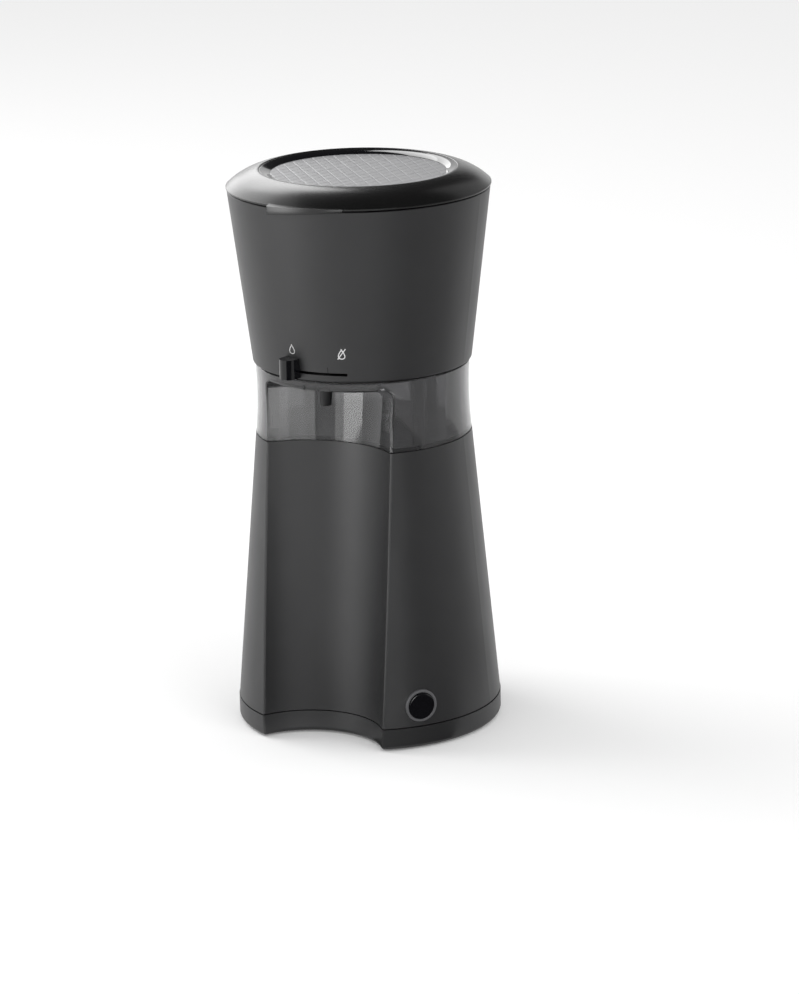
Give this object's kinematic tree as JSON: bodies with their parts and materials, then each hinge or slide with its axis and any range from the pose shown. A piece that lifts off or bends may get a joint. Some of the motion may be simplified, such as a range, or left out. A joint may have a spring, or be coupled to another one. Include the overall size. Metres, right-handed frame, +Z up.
{
  "type": "iced coffee maker",
  "caption": "Single-serve iced coffee maker with waisted round body, cup bay, smoke water tank, sliding drip stop, hinged lid and push button.",
  "frame": {"origin": "centre of the round base, on the counter under the feet", "axes": "+Z up; the cup bay and the slider face -Y; +X is the machine's right seen from the front; the lid hinge is at +Y"},
  "size_m": [0.1508, 0.1534, 0.3192],
  "materials": {
    "charcoal": "fine satin-matt moulded plastic, dark charcoal",
    "satin_black": "satin black moulded plastic",
    "gloss_black": "polished black plastic",
    "black_inner": "plain black moulded plastic",
    "smoke": "clear plastic tinted smoke grey",
    "pattern_panel": "grey panel with a fine crosshatch",
    "rubber": "soft black rubber",
    "seal": "grey silicone seal",
    "silicone": "milky silicone hose",
    "nylon_mesh": "fine white nylon filter mesh",
    "white_plastic": "natural white engineering plastic",
    "steel": "plated steel",
    "cast_aluminium": "cast aluminium",
    "board_green": "circuit board",
    "light_guide": "frosted grey light guide, unlit"
  },
  "bodies": {
    "machine": {"base_plinth": "charcoal", "rubber_feet": "rubber", "base_screws": "steel", "lower_housing": "charcoal", "water_tank": "smoke", "tank_gasket": "rubber", "tie_screws": "steel", "head_housing": "charcoal", "chamber_liner": "black_inner", "riser_grommet": "seal", "riser_pipe": "black_inner", "brew_basket": "black_inner", "basket_seal": "seal", "filter_frame": "black_inner", "filter_mesh": "nylon_mesh", "filter_handle": "black_inner", "drip_spout": "black_inner", "gate_seal": "seal", "hinge_pin": "steel", "heater": "cast_aluminium", "heater_bracket": "steel", "bracket_screws": "steel", "thermostat": "steel", "thermal_fuse": "white_plastic", "check_valve": "white_plastic", "tank_hose": "silicone", "feed_hose": "silicone", "riser_hose": "silicone", "hose_clamps": "steel", "power_switch": "black_inner", "control_board": "board_green", "light_ring": "light_guide", "cord_gland": "gloss_black"},
    "lid": {"lid_cover": "satin_black", "lid_bevel": "gloss_black", "lid_panel": "pattern_panel", "lid_liner": "black_inner", "port_seal": "seal", "shower_head": "black_inner"},
    "drip_slider": {"shutter_plate": "black_inner", "slider_knob": "gloss_black"},
    "power_button": {"button_cap": "gloss_black", "switch_plunger": "white_plastic"}
  },
  "joints": [
    {"name": "lid_hinge", "type": "hinge", "parent": "machine", "child": "lid", "pos_m": [0, 0.074, 0.307], "axis": [-1, 0, 0], "range_deg": [0, 100]},
    {"name": "drip_stop_swing", "type": "hinge", "parent": "machine", "child": "drip_slider", "pos_m": [0, 0, 0.2151], "axis": [0, 0, 1], "range_deg": [0, 27]},
    {"name": "power_button_press", "type": "slide", "parent": "machine", "child": "power_button", "axis": [-0.7314, 0.682, 0], "range_m": [0, 0.0015], "stiffness_N_per_m": 1200}
  ]
}
